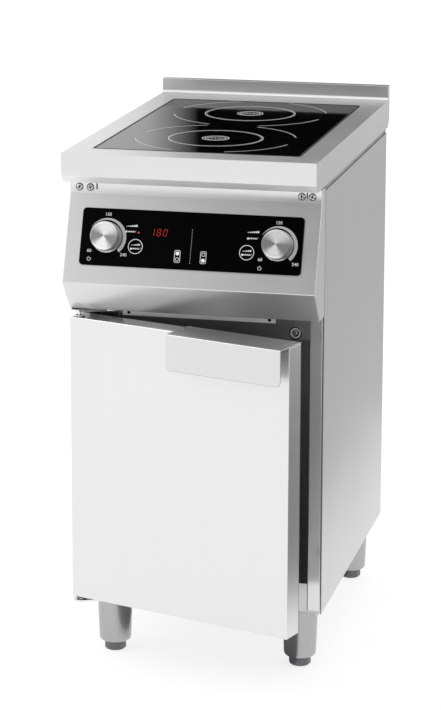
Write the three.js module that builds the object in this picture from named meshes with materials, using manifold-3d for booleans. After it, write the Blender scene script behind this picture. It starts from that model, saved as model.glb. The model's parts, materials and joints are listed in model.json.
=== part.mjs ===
// Free-standing two-zone induction hob on a base cabinet with a hinged door.
// Millimetres, +Z up. The front faces -Y, and the origin is under the middle of the footprint.
import * as THREE from 'three';
import { mergeVertices } from 'three/addons/utils/BufferGeometryUtils.js';
import Module from 'manifold-3d';

const wasm = await Module();
wasm.setup();

// Driving dimensions. Y is counted from the worktop's front edge until the last line.
const GAP = 0.3; // kept between pieces that touch
const SHEET = 1.5; // steel sheet
const WIDTH = 400;
const DEPTH = 650;
const WORKTOP_TOP = 845;
const SKIRT_BOTTOM = 798;
const SKIRT_BEVEL = 12;
const UPSTAND_TOP = 870;
const UPSTAND_DEPTH = 15;
const COVE_RADIUS = 8;

const GLASS = { halfX: 162, front: 54, back: 568, thickness: 6 };
const ZONE_FRONT_Y = 188;
const ZONE_REAR_Y = 441;
const COIL_RADIUS = 105;

const BODY_HALF = 199; // outer face of the side panels
const FACE_Y = 76; // front face of posts, rail and base flange
const BACK_Y = 630;
const BODY_BOTTOM = 106;
const BODY_TOP = 790;
const DECK_Z = 593; // sheet between the storage space and the electronics

const HOUSING = { halfX: 199.5, bandY: 48, bandBottom: 775, lipY: -2, lipZ: 642, keelY: 39.3, bottom: 592 };
const PANEL = { width: 350, height: 90, top: 23, thickness: 2, corner: 6 };
const KNOB = { left: -133, right: 137, down: 68.7, skirt: 24, face: 22.5, base: 3, top: 23 };
const SHAFT_RADIUS = 3;

const PIVOT = { x: -185, y: 42.5 }; // door pin
const DOOR = { left: -12, right: 383, front: -8, back: 27.7, bottom: 118.6, top: 578.5 };
const DOOR_AJAR = THREE.MathUtils.degToRad(17.8);
const HANDLE = { length: 200.9, reach: 27.7, drop: 57.1, corner: 8 };

const LEG = { x: 154.3, frontY: 133.9, rearY: 583.8, topRadius: 29, lowRadius: 26, bottom: 16 };
const FOOT_RADIUS = 18;

// Finishes.
const finish = (color, roughness, metalness) => ({ color, roughness, metalness });
const STEEL = finish(0xc9cacb, 0.35, 1);
const DOOR_STEEL = finish(0xdedfdf, 0.3, 1);
const GALVANISED = finish(0x9a9d9f, 0.5, 1);
const CHROME = finish(0xe2e2e2, 0.12, 1);
const BLACK_GLASS = finish(0x08080a, 0.08, 0);
const RUBBER = finish(0x161616, 0.8, 0);
const ALUMINIUM = finish(0xb9bbbd, 0.3, 1);
const COPPER = finish(0xb06a3c, 0.4, 1);
const BOARD = finish(0x1e5a36, 0.6, 0);
const PLASTIC = finish(0x202124, 0.55, 0);
const FOOT_GREY = finish(0x55585a, 0.4, 0.6);
const CERAMIC = finish(0xe8e4da, 0.6, 0);

const part = new THREE.Group();

function add(name, geometry, look, parent = part) {
  const mesh = new THREE.Mesh(geometry, new THREE.MeshStandardMaterial(look));
  mesh.name = name;
  parent.add(mesh);
  return mesh;
}

// Outlines and extrusions.
const outline = (points) => new THREE.Shape(points.map(([u, v]) => new THREE.Vector2(u, v)));

function roundedRect(width, height, radius) {
  const w = width / 2;
  const h = height / 2;
  const shape = new THREE.Shape();
  shape.moveTo(-w + radius, -h);
  shape.lineTo(w - radius, -h);
  shape.absarc(w - radius, -h + radius, radius, -Math.PI / 2, 0);
  shape.absarc(w - radius, h - radius, radius, 0, Math.PI / 2);
  shape.absarc(-w + radius, h - radius, radius, Math.PI / 2, Math.PI);
  shape.absarc(-w + radius, -h + radius, radius, Math.PI, Math.PI * 1.5);
  return shape;
}

function extrude(shape, depth, curveSegments = 6) {
  return new THREE.ExtrudeGeometry(shape, { depth, bevelEnabled: false, steps: 1, curveSegments });
}

function alongX(shape, x0, x1) {
  const turn = new THREE.Matrix4().makeBasis(
    new THREE.Vector3(0, 1, 0),
    new THREE.Vector3(0, 0, 1),
    new THREE.Vector3(1, 0, 0),
  );
  return extrude(shape, x1 - x0).applyMatrix4(turn).translate(x0, 0, 0);
}

function alongY(shape, y0, y1) {
  return extrude(shape, y1 - y0).rotateX(Math.PI / 2).translate(0, y1, 0);
}

function alongZ(shape, z0, z1) {
  return extrude(shape, z1 - z0).translate(0, 0, z0);
}

function box(x0, x1, y0, y1, z0, z1) {
  const size = [x1 - x0, y1 - y0, z1 - z0];
  return new THREE.BoxGeometry(...size).translate((x0 + x1) / 2, (y0 + y1) / 2, (z0 + z1) / 2);
}

// A turned piece on the Z axis, from (radius, height) points in either order.
function turned(points, segments = 24) {
  const profile = points.map(([r, z]) => new THREE.Vector2(r, z));
  if (THREE.ShapeUtils.area(profile) < 0) profile.reverse();
  return new THREE.LatheGeometry(profile, segments).rotateX(Math.PI / 2);
}

function rod(radius, z0, z1, segments = 20) {
  const geometry = new THREE.CylinderGeometry(radius, radius, z1 - z0, segments);
  return geometry.rotateX(Math.PI / 2).translate(0, 0, (z0 + z1) / 2);
}

// Quarter-circle points, from angle a0 to a1 in degrees.
function arc(cx, cy, radius, a0, a1, steps = 4) {
  const points = [];
  for (let i = 0; i <= steps; i += 1) {
    const a = THREE.MathUtils.degToRad(a0 + ((a1 - a0) * i) / steps);
    points.push([cx + radius * Math.cos(a), cy + radius * Math.sin(a)]);
  }
  return points;
}

// Booleans.
function toSolid(geometry) {
  const bare = geometry.clone();
  bare.deleteAttribute('normal');
  bare.deleteAttribute('uv');
  const merged = mergeVertices(bare, 1e-4);
  return new wasm.Manifold(new wasm.Mesh({
    numProp: 3,
    vertProperties: new Float32Array(merged.attributes.position.array),
    triVerts: new Uint32Array(merged.index.array),
  }));
}

function toGeometry(solid) {
  const mesh = solid.getMesh();
  const geometry = new THREE.BufferGeometry();
  geometry.setAttribute('position', new THREE.BufferAttribute(mesh.vertProperties, 3));
  geometry.setIndex(new THREE.BufferAttribute(mesh.triVerts, 1));
  geometry.computeVertexNormals();
  return geometry;
}

const cut = (base, ...tools) => toGeometry(tools.reduce((s, t) => s.subtract(toSolid(t)), toSolid(base)));
const join = (base, ...extras) => toGeometry(extras.reduce((s, t) => s.add(toSolid(t)), toSolid(base)));

// Worktop: a folded sheet, open underneath, with a recess for the glass and a coved rear upstand.
function makeWorktop() {
  const half = WIDTH / 2;
  const kneeZ = SKIRT_BOTTOM + SKIRT_BEVEL;
  const upstandY = DEPTH - UPSTAND_DEPTH;
  const skin = outline([
    [0, WORKTOP_TOP], [0, kneeZ], [SKIRT_BEVEL, SKIRT_BOTTOM],
    [DEPTH - SKIRT_BEVEL, SKIRT_BOTTOM], [DEPTH, kneeZ], [DEPTH, UPSTAND_TOP], [upstandY, UPSTAND_TOP],
    ...arc(upstandY - COVE_RADIUS, WORKTOP_TOP + COVE_RADIUS, COVE_RADIUS, 0, -90),
  ]);
  const lap = SHEET * 1.41; // keeps the sheet's thickness across the 45 degree bevel
  const returnY = HOUSING.bandY - 2; // the front skirt folds back under as far as the control housing
  const hollow = outline([
    [SHEET, WORKTOP_TOP - SHEET], [SHEET, kneeZ + lap - SHEET],
    [SKIRT_BEVEL + lap - SHEET, SKIRT_BOTTOM + SHEET], [returnY, SKIRT_BOTTOM + SHEET], [returnY, SKIRT_BOTTOM - 8],
    [DEPTH - SKIRT_BEVEL - lap, SKIRT_BOTTOM - 8], [DEPTH - SKIRT_BEVEL - lap, SKIRT_BOTTOM],
    [DEPTH - SHEET, kneeZ + lap - SHEET], [DEPTH - SHEET, UPSTAND_TOP - SHEET],
    [upstandY + SHEET, UPSTAND_TOP - SHEET], [upstandY + SHEET, WORKTOP_TOP - SHEET],
  ]);
  const { halfX, front, back, thickness } = GLASS;
  const ledgeZ = WORKTOP_TOP - thickness - GAP;
  const rim = 2.3; // joint between the glass and the recess
  const shell = cut(alongX(skin, -half, half), alongX(hollow, -half + SHEET, half - SHEET));
  const recess = box(-halfX - rim - SHEET, halfX + rim + SHEET, front - rim - SHEET, back + rim + SHEET,
    ledgeZ - SHEET, WORKTOP_TOP - 1);
  const pocket = box(-halfX - rim, halfX + rim, front - rim, back + rim, ledgeZ, WORKTOP_TOP + 1);
  const window = box(-halfX + 12, halfX - 12, front + 12, back - 12, ledgeZ - 5, ledgeZ + 1);
  add('worktop', cut(join(shell, recess), pocket, window), STEEL);

  const glassZ = WORKTOP_TOP - thickness;
  const centreY = (front + back) / 2;
  const plate = roundedRect(2 * halfX, back - front, 3);
  add('hob_glass', extrude(plate, thickness, 3).translate(0, centreY, glassZ), BLACK_GLASS);
  const seal = roundedRect(2 * (halfX + rim - GAP), back - front + 2 * (rim - GAP), 3);
  seal.holes.push(new THREE.Path(roundedRect(2 * (halfX + GAP), back - front + 2 * GAP, 3).getPoints(3)));
  add('glass_seal', extrude(seal, thickness - 1, 3).translate(0, centreY, glassZ), RUBBER);
}

// Control housing: bright band, sloped fascia and keel as one folded shell, open to the rear.
const fascia = new THREE.Group();
const SLOPE = Math.atan2(HOUSING.bandBottom - HOUSING.lipZ, HOUSING.bandY - HOUSING.lipY);
fascia.position.set(0, HOUSING.bandY, HOUSING.bandBottom);
fascia.rotation.x = SLOPE;
fascia.updateMatrix();
part.add(fascia);

function makeControls() {
  const { halfX, bandY, bandBottom, lipY, lipZ, keelY, bottom } = HOUSING;
  const backY = FACE_Y - GAP;
  const top = SKIRT_BOTTOM - 2;
  const skin = outline([
    [bandY, top], [bandY, bandBottom], [lipY, lipZ], [keelY, bottom], [backY, bottom], [backY, top],
  ]);
  const s = SHEET;
  const hollow = outline([
    [bandY + s, top - s], [bandY + s, bandBottom - 0.3], [lipY + 1.9, lipZ + 0.3],
    [keelY + 0.7, bottom + s], [backY + 1, bottom + s], [backY + 1, top - s],
  ]);
  const bore = (x) => rod(SHAFT_RADIUS + 2, -20, 20).translate(x, -KNOB.down, 0).applyMatrix4(fascia.matrix);
  const display = box(-64, -35, -64, -50, -20, 20).applyMatrix4(fascia.matrix);
  const shell = cut(alongX(skin, -halfX, halfX), alongX(hollow, -halfX + s, halfX - s));
  add('control_housing', cut(shell, bore(KNOB.left), bore(KNOB.right), display), STEEL);

  const { width, height, top: panelTop, thickness, corner } = PANEL;
  const face = roundedRect(width, height, corner);
  for (const x of [KNOB.left, KNOB.right]) {
    const hole = new THREE.Path();
    hole.absarc(x, height / 2 + panelTop - KNOB.down, SHAFT_RADIUS + 2, 0, 2 * Math.PI, true);
    face.holes.push(hole);
  }
  add('control_glass', extrude(face, thickness, 5).translate(0, -panelTop - height / 2, GAP), BLACK_GLASS, fascia);
  add('display_board', box(-165, 165, -108, -30, -14, -12.4), BOARD, fascia);

  for (const [side, x] of [['left', KNOB.left], ['right', KNOB.right]]) {
    const spot = new THREE.Group();
    spot.position.set(x, -KNOB.down, 0);
    fascia.add(spot);
    const { skirt, face: faceRadius, base, top: knobTop } = KNOB;
    const boreRadius = SHAFT_RADIUS + GAP;
    const knob = [
      [boreRadius, base], [skirt, base], [skirt, base + 2.5], [faceRadius + 0.7, base + 4],
      [faceRadius, knobTop - 1.5], [faceRadius - 1.5, knobTop], [0, knobTop],
      [0, knobTop - 6], [boreRadius, knobTop - 6], [boreRadius, base],
    ];
    add(`knob_${side}`, turned(knob, 36), ALUMINIUM, spot);
    add(`knob_shaft_${side}`, rod(SHAFT_RADIUS, -10, knobTop - 6 - GAP, 16), CHROME, spot);
    const encoder = cut(box(-8, 8, -8, 8, -12.1, -SHEET - GAP), rod(SHAFT_RADIUS + GAP, -10.5, 0));
    add(`encoder_${side}`, encoder, PLASTIC, spot);
  }
}

// Cabinet shell: side panels, rear panel with vents, posts, rail, base tray and deck.
function makeCabinet() {
  const inner = BODY_HALF - SHEET - GAP;
  for (const [side, s] of [['left', -1], ['right', 1]]) {
    const span = (a, b) => (s > 0 ? [a, b] : [-b, -a]);
    const panel = box(...span(BODY_HALF - SHEET, BODY_HALF), FACE_Y + 2, BACK_Y, BODY_BOTTOM, BODY_TOP);
    add(`side_panel_${side}`, panel, STEEL);
    const face = box(...span(177, inner), FACE_Y, FACE_Y + SHEET, BODY_BOTTOM + 6, HOUSING.bottom - GAP);
    const web = box(...span(inner - SHEET, inner), FACE_Y + 1, FACE_Y + 24, BODY_BOTTOM + 6, HOUSING.bottom - GAP);
    const lip = box(...span(177, 177 + SHEET), FACE_Y + 1, FACE_Y + 14, BODY_BOTTOM + 6, HOUSING.bottom - GAP);
    add(`post_${side}`, join(face, web, lip), STEEL);
    const upright = box(...span(inner - 2, inner), 62, 624, 700, WORKTOP_TOP - SHEET - GAP);
    const clearHousing = box(...span(inner - 3, inner + 1), 0, FACE_Y + 3, 600, SKIRT_BOTTOM);
    const shelf = box(...span(inner - 18, inner), 62, 624, WORKTOP_TOP - 2 * SHEET - GAP, WORKTOP_TOP - SHEET - GAP);
    add(`worktop_bearer_${side}`, cut(join(upright, shelf), clearHousing), GALVANISED);
  }

  const rear = box(-inner, inner, BACK_Y - SHEET, BACK_Y, BODY_BOTTOM, WORKTOP_TOP - SHEET - GAP);
  const vents = [];
  for (let row = 0; row < 8; row += 1) {
    for (let column = 0; column < 3; column += 1) {
      const x = (column - 1) * 110;
      const z = 660 + row * 14;
      vents.push(box(x - 42, x + 42, BACK_Y - 10, BACK_Y + 10, z, z + 5));
    }
  }
  const inlet = rod(12.5, -20, 20).rotateX(Math.PI / 2).translate(-150, BACK_Y, 625);
  add('rear_panel', cut(rear, ...vents, inlet), STEEL);

  const railFace = box(-176.5, 176.5, FACE_Y, FACE_Y + SHEET, 552.5, DECK_Z - GAP);
  const railFoot = box(-176.5, 176.5, FACE_Y + 1, FACE_Y + 22, 552.5, 552.5 + SHEET);
  add('top_rail', join(railFace, railFoot), STEEL);

  const strip = box(-123, 123, FACE_Y - GAP - 1.2, FACE_Y - GAP, 577, 590.5);
  const stripHole = (x) => rod(2, -10, 10, 12).rotateX(Math.PI / 2).translate(x, FACE_Y, 582);
  add('fixing_strip', cut(strip, stripHole(-113), stripHole(113)), CHROME);

  const trayX = 176.5;
  const floor = box(-inner + 26, inner - 26, FACE_Y + SHEET + GAP, BACK_Y - 2, BODY_BOTTOM + 4, BODY_BOTTOM + 4 + SHEET);
  const wings = box(-inner, inner, FACE_Y + 26, BACK_Y - 2, BODY_BOTTOM + 4, BODY_BOTTOM + 4 + SHEET);
  const flange = box(-trayX, trayX, FACE_Y, FACE_Y + SHEET, BODY_BOTTOM + 4, 156);
  const joggle = box(-trayX + 6, trayX - 6, FACE_Y + 1, FACE_Y + 3, BODY_BOTTOM + 4, BODY_BOTTOM + 4 + SHEET);
  add('base_tray', join(floor, wings, flange, joggle), STEEL);

  const deck = box(-inner, inner, FACE_Y + 2, BACK_Y - 2, DECK_Z, DECK_Z + SHEET);
  const notch = (x) => box(x - 12, x + 12, FACE_Y, FACE_Y + 27, DECK_Z - 5, DECK_Z + 5);
  add('electronics_deck', cut(deck, notch(-inner + 6), notch(inner - 6)), GALVANISED);

  const magnet = turned([[0, 0], [10, 0], [10, 3], [9.2, 3.9], [2.6, 3.9], [2.6, 2.6], [0, 2.6]], 28);
  add('magnet_catch', magnet.rotateX(Math.PI / 2).translate(155, FACE_Y - GAP, 564), CHROME);
}

// Legs with a nut plate inside, and feet that screw in and out of them.
function makeLegs() {
  const { x, frontY, rearY, topRadius, lowRadius, bottom } = LEG;
  const leg = [
    [0, BODY_BOTTOM + 3], [38, BODY_BOTTOM + 3], [38, BODY_BOTTOM], [topRadius, BODY_BOTTOM - 1],
    [lowRadius, bottom + 8], ...arc(lowRadius - 6, bottom + 6, 6, 10, -90, 3),
    [FOOT_RADIUS + GAP, bottom], [FOOT_RADIUS + GAP, bottom + 2], [lowRadius - SHEET, bottom + 9],
    [lowRadius - SHEET, 40], [5.3, 40], [5.3, 52], [lowRadius - SHEET, 52],
    [topRadius - 2, BODY_BOTTOM - 3], [0, BODY_BOTTOM - 3],
  ];
  const foot = [
    [0, 0], ...arc(FOOT_RADIUS - 6, 6, 6, -90, 0, 3), [FOOT_RADIUS, 26], [5, 26], [5, 90], [0, 90],
  ];
  const corners = [['front', 'left', -x, frontY], ['front', 'right', x, frontY],
    ['rear', 'left', -x, rearY], ['rear', 'right', x, rearY]];
  for (const [end, side, cx, cy] of corners) {
    add(`leg_${end}_${side}`, turned(leg).translate(cx, cy, 0), STEEL);
    add(`foot_${end}_${side}`, turned(foot).translate(cx, cy, 0), FOOT_GREY);
  }
}

// Door on two pins at its left edge.
function makeDoor() {
  const { left, right, front, back, bottom, top } = DOOR;
  const door = new THREE.Group();
  door.position.set(PIVOT.x, PIVOT.y, 0);
  door.rotation.z = -DOOR_AJAR;
  part.add(door);

  const wall = 1.2;
  const linerFront = back - wall;
  const shell = box(left, right, front, linerFront - GAP, bottom, top);
  const hollow = box(left + wall, right - wall, front + wall, back + 5, bottom + wall, top - wall);
  const bushHole = rod(6 + GAP, bottom - 10, top + 10);
  add('door_skin', cut(shell, hollow, bushHole), DOOR_STEEL, door);
  add('door_liner', box(left, right, linerFront, back, bottom, top), STEEL, door);

  const bush = (face, way) => {
    const inside = SHAFT_RADIUS + GAP;
    const section = [[inside, -8], [6, -8], [6, GAP], [8.5, GAP], [8.5, 1.8], [inside, 1.8], [inside, -8]];
    return turned(section.map(([r, z]) => [r, face + way * z]), 20);
  };
  add('door_bush_upper', bush(top, 1), PLASTIC, door);
  add('door_bush_lower', bush(bottom, -1), PLASTIC, door);

  // Handle: a top flange riveted over the door, bent down into a pull plate.
  const x0 = right - HANDLE.length;
  const plateY = front - HANDLE.reach;
  const flangeZ = top + GAP;
  const r = HANDLE.corner;
  const low = flangeZ + SHEET - HANDLE.drop;
  const plate = outline([
    [x0, flangeZ + SHEET], ...arc(x0 + r, low + r, r, 180, 270), ...arc(right - r, low + r, r, 270, 360),
    [right, flangeZ + SHEET],
  ]);
  const flange = box(x0, right, plateY, back, flangeZ, flangeZ + SHEET);
  add('door_handle', join(alongY(plate, plateY, plateY + SHEET), flange), DOOR_STEEL, door);

  const striker = turned([[0, 0], [9, 0], [9, 1], [0, 1]], 24).rotateX(-Math.PI / 2);
  add('striker_plate', striker.translate(155 - PIVOT.x, back + GAP, 564), CHROME, door);
}

// Fixed halves of the hinges: an angle bracket and a collared pin each.
function makeHinges() {
  const reach = 13;
  const wallY = FACE_Y - GAP;
  const arm = outline([
    ...arc(PIVOT.x, PIVOT.y, reach, 180, 285), [-140, 46], [-126, 52], [-126, wallY], [-172, wallY],
    [PIVOT.x - reach, PIVOT.y + 8],
  ]);
  const pinHole = (z) => rod(SHAFT_RADIUS + GAP, z - 20, z + 20).translate(PIVOT.x, PIVOT.y, 0);
  const upperPlate = alongZ(arm, 588.4, 591.4);
  const upperLeaf = box(-172, -130, wallY - 1.8, wallY, 560, 591);
  add('hinge_bracket_upper', cut(join(upperPlate, upperLeaf), pinHole(590)), CHROME);
  const lowerPlate = alongZ(arm, 111.5, 114.5);
  const lowerLeaf = box(-172, -130, wallY - 1.8, wallY, 112, 146);
  add('hinge_bracket_lower', cut(join(lowerPlate, lowerLeaf), pinHole(113)), CHROME);

  const pin = (root, collar, tip, way) => {
    const r = SHAFT_RADIUS;
    const under = collar + way * 1.6;
    const section = [
      [0, root], [r, root], [r, collar], [5, collar], [5, under], [r, under], [r, tip - way], [r - 1, tip], [0, tip],
    ];
    return turned(section, 16).translate(PIVOT.x, PIVOT.y, 0);
  };
  add('hinge_pin_upper', pin(591.2, 588.1, 568, -1), CHROME);
  add('hinge_pin_lower', pin(111.7, 114.8, 129, 1), CHROME);
}

// Under the glass: two coils on carriers, held by cross rails between the bearers.
function makeCoils() {
  const coilZ = 828.5;
  for (const [end, y] of [['front', ZONE_FRONT_Y], ['rear', ZONE_REAR_Y]]) {
    const ring = [[12, 0], [COIL_RADIUS, 0], [COIL_RADIUS, 8], [12, 8], [12, 0]];
    add(`coil_${end}`, turned(ring, 48).translate(0, y, coilZ), COPPER);
    add(`coil_carrier_${end}`, rod(COIL_RADIUS + 3, coilZ - GAP - 6, coilZ - GAP, 48).translate(0, y, 0), ALUMINIUM);
    add(`temperature_sensor_${end}`, rod(8, coilZ, 838, 16).translate(0, y, 0), CERAMIC);
    const top = coilZ - 2 * GAP - 6;
    const channel = outline([
      [y - 30, top], [y - 30, top - 14], [y - 28, top - 14], [y - 28, top - 2],
      [y + 28, top - 2], [y + 28, top - 14], [y + 30, top - 14], [y + 30, top],
    ]);
    const railHalf = BODY_HALF - SHEET - GAP - 2 - GAP;
    add(`coil_rail_${end}`, alongX(channel, -railHalf, railHalf), GALVANISED);
  }
}

// On the deck: power boards with finned heatsinks, cooling fans, supply terminals and inlet.
function makeElectronics() {
  const floor = DECK_Z + SHEET + GAP;
  const fanSize = 92;
  const fanY = 440;
  for (const [side, x] of [['left', -95], ['right', 95]]) {
    add(`power_board_${side}`, box(x - 80, x + 80, 130, 420, floor, floor + 2), BOARD);
    const fins = [[-40, 0]];
    for (let i = 0; i < 8; i += 1) {
      const left = 40 - i * 11;
      fins.push([left, i === 0 ? 0 : 5], [left, 42], [left - 3, 42], [left - 3, i === 7 ? 0 : 5]);
    }
    const comb = fins.slice(1, -1).concat([[-40, 5], [-40, 0]]);
    add(`heatsink_${side}`, alongY(outline(comb), 160, 400).translate(x, 0, floor + 2 + GAP), ALUMINIUM);

    const frame = new THREE.Group();
    frame.position.set(x, fanY, floor + fanSize / 2);
    frame.rotation.x = Math.PI / 2;
    part.add(frame);
    const half = fanSize / 2;
    const duct = rod(43.5, -30, 30, 32);
    const spider = join(box(-half, half, -4, 4, -12, -9), box(-4, 4, -half, half, -12, -9), rod(19, -12, -9, 20));
    const housing = cut(box(-half, half, -half, half, -12, 12), duct);
    add(`fan_frame_${side}`, join(housing, spider), PLASTIC, frame);
    const blades = [];
    for (let i = 0; i < 7; i += 1) {
      const blade = box(14, 41.5, -11, 11, -0.8, 0.8).rotateX(THREE.MathUtils.degToRad(32));
      blades.push(blade.rotateZ((i * 2 * Math.PI) / 7).translate(0, 0, 2));
    }
    add(`fan_rotor_${side}`, join(rod(18, -8.7, 10, 20), ...blades), PLASTIC, frame);
  }

  add('terminal_block', box(-182, -118, 560, 585, floor, floor + 28), PLASTIC);
  const gland = [
    [7, 0], [15, 0], [15, 10], [12.2, 10], [12.2, 12.4], [16, 12.4], [16, 17], [13, 17], [11, 26], [7, 26], [7, 0],
  ];
  add('cable_gland', turned(gland, 20).rotateX(-Math.PI / 2).translate(-150, BACK_Y - 12, 625), PLASTIC);
}

makeWorktop();
makeControls();
makeCabinet();
makeLegs();
makeDoor();
makeHinges();
makeCoils();
makeElectronics();

// Put the origin under the middle of the footprint.
part.updateMatrixWorld(true);
const footprint = new THREE.Box3().setFromObject(part, true);
part.position.y = -(footprint.min.y + footprint.max.y) / 2;

export default part;
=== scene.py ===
import json
from math import atan2, cos, degrees, pi, radians, sin

import bmesh
import bpy
from mathutils import Matrix, Vector

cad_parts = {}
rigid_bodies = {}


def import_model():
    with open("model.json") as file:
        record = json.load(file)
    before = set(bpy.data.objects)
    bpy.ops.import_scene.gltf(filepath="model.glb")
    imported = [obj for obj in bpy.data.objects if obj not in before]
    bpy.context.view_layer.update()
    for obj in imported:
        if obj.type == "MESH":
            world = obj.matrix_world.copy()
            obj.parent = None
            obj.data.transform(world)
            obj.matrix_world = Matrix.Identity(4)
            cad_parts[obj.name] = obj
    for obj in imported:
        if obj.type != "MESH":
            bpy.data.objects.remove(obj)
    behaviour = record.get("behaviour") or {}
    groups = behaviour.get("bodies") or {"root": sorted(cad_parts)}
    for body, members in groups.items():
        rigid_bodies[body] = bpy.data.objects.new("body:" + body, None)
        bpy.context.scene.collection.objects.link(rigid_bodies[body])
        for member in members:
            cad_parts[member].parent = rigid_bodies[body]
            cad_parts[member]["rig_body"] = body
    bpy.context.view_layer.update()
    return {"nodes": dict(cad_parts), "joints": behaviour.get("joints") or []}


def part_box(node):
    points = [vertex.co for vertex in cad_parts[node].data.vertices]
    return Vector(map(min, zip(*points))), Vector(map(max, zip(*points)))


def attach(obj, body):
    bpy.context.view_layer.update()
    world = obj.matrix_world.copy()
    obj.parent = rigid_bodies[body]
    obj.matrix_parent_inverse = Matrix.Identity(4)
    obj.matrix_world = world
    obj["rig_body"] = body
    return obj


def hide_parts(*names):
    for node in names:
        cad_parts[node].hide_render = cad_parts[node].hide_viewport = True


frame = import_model()
nodes = frame["nodes"]
joints = {joint["name"]: joint for joint in frame["joints"]}
mm = 0.001  # each piece's own values are in millimetres, those of the view and the stage in metres
print("frame loaded:", len(nodes), "nodes")


view = {
    "eye": Vector((0.967, -4.216, 1.5637)),
    "target": Vector((-0.073, 0.0293, 0.604)),
    "lens": 137.8,
    "shift": (0.0462, -0.12),
}


def makeCamera():
    lens = bpy.data.cameras.new("camera")
    lens.lens = view["lens"]
    lens.shift_x, lens.shift_y = view["shift"]
    lens.clip_end = 60
    camera = bpy.data.objects.new("camera", lens)
    camera.location = view["eye"]
    camera.rotation_euler = (view["target"] - view["eye"]).to_track_quat("-Z", "Y").to_euler()
    bpy.context.scene.collection.objects.link(camera)
    bpy.context.scene.camera = camera


makeCamera()


class Wire:
    # one shader value, with maths written as plain expressions
    def __init__(self, paint, socket):
        self.paint = paint
        self.socket = socket

    def maths(self, operation, *values):
        sockets = dict(enumerate(values))
        return self.paint.node("ShaderNodeMath", {"operation": operation}, sockets, 0)

    def __add__(self, other):
        return self.maths("ADD", self, other)

    def __radd__(self, other):
        return self.maths("ADD", other, self)

    def __sub__(self, other):
        return self.maths("SUBTRACT", self, other)

    def __rsub__(self, other):
        return self.maths("SUBTRACT", other, self)

    def __mul__(self, other):
        return self.maths("MULTIPLY", self, other)

    def __rmul__(self, other):
        return self.maths("MULTIPLY", other, self)

    def __pow__(self, other):
        return self.maths("POWER", self, other)

    def sine(self):
        return self.maths("SINE", self)

    def clamped(self):
        return self.maths("MINIMUM", self.maths("MAXIMUM", self, 0.0), 1.0)


class Paint:
    # one material and the making of its nodes
    def __init__(self, name):
        self.material = bpy.data.materials.new(name)
        self.material.use_nodes = True
        self.tree = self.material.node_tree
        self.tree.nodes.clear()

    def node(self, kind, settings, sockets, output=None):
        made = self.tree.nodes.new(kind)
        for key, value in settings.items():
            if key == "stops":
                ramp = made.color_ramp
                while len(ramp.elements) < len(value):
                    ramp.elements.new(0.5)
                for element, (position, colour) in zip(ramp.elements, value):
                    element.position = position
                    element.color = (*colour, 1)
            else:
                setattr(made, key, value)
        for key, value in sockets.items():
            if isinstance(value, Wire):
                self.tree.links.new(value.socket, made.inputs[key])
            else:
                made.inputs[key].default_value = value
        return None if output is None else Wire(self, made.outputs[output])

    def place(self, scale=(1, 1, 1), turn=(0, 0, 0), centre=(0, 0, 0)):
        # object coordinates, moved so that centre is at zero, turned and scaled
        here = self.node("ShaderNodeTexCoord", {}, {}, "Object")
        moved = self.node("ShaderNodeVectorMath", {"operation": "SUBTRACT"}, {0: here, 1: centre}, 0)
        return self.node("ShaderNodeMapping", {}, {"Vector": moved, "Rotation": turn, "Scale": scale}, 0)

    def noise(self, vector, scale, detail=2.0, rough=0.5):
        sockets = {"Vector": vector, "Scale": scale, "Detail": detail, "Roughness": rough}
        return self.node("ShaderNodeTexNoise", {}, sockets, 0)

    def blend(self, factor, low, high):
        sockets = {0: factor, 6: (*low, 1), 7: (*high, 1)}
        return self.node("ShaderNodeMix", {"data_type": "RGBA"}, sockets, 2)

    def bump(self, height, strength, distance):
        sockets = {"Height": height, "Strength": strength, "Distance": distance}
        return self.node("ShaderNodeBump", {}, sockets, 0)

    def surface(self, shader):
        self.node("ShaderNodeOutputMaterial", {}, {"Surface": shader})
        return self.material

    def finish(self, **values):
        sockets = {key.replace("_", " "): value for key, value in values.items()}
        return self.surface(self.node("ShaderNodeBsdfPrincipled", {}, sockets, 0))


def grey(value, tint=(1, 1, 1)):
    # a neutral colour, leaning a little towards the tint
    return tuple(value * t for t in tint)


def brushedSteel(name, tone, grain, roughness, contrast=0.10):
    # hairline grain along one axis, slow clouds in tone and faint wiping marks
    paint = Paint(name)
    along = {"x": (9, 1100, 1100), "y": (1100, 9, 1100), "z": (1100, 1100, 9)}[grain]
    hair = paint.noise(paint.place(along), 1.0, 3.0, 0.6)
    coarse = paint.noise(paint.place(tuple(v * 0.22 for v in along)), 1.0, 2.0)
    cloud = paint.noise(paint.place((5, 5, 4)), 1.0, 2.0)
    wipe = paint.noise(paint.place((30, 14, 9), (0.5, 0.3, 0.8)), 1.0, 4.0, 0.65)
    mask = (0.45 * hair + 0.25 * coarse + 0.3 * cloud).clamped()
    low = grey(tone * (1 - contrast), (0.995, 1, 1.0))
    high = grey(min(1.0, tone * (1 + contrast)), (1, 1, 0.997))
    rough = roughness + 0.10 * (hair - 0.5) + 0.07 * (wipe - 0.5)
    height = 0.7 * hair + 0.3 * coarse
    return paint.finish(Base_Color=paint.blend(mask, low, high), Metallic=0.9, Roughness=rough,
                        Normal=paint.bump(height, 0.12, 0.00012))


def turnedSteel(name, tone, roughness):
    # satin tube: fine lengthwise polish, slow clouds and a few faint rubs
    paint = Paint(name)
    hair = paint.noise(paint.place((500, 500, 30)), 1.0, 3.0, 0.6)
    cloud = paint.noise(paint.place((22, 22, 10)), 1.0, 3.0)
    mask = (0.5 * hair + 0.5 * cloud).clamped()
    return paint.finish(Base_Color=paint.blend(mask, grey(tone * 0.88), grey(tone * 1.1)), Metallic=0.95,
                        Roughness=roughness + 0.12 * (cloud - 0.5), Normal=paint.bump(hair, 0.05, 0.00006))


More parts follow.
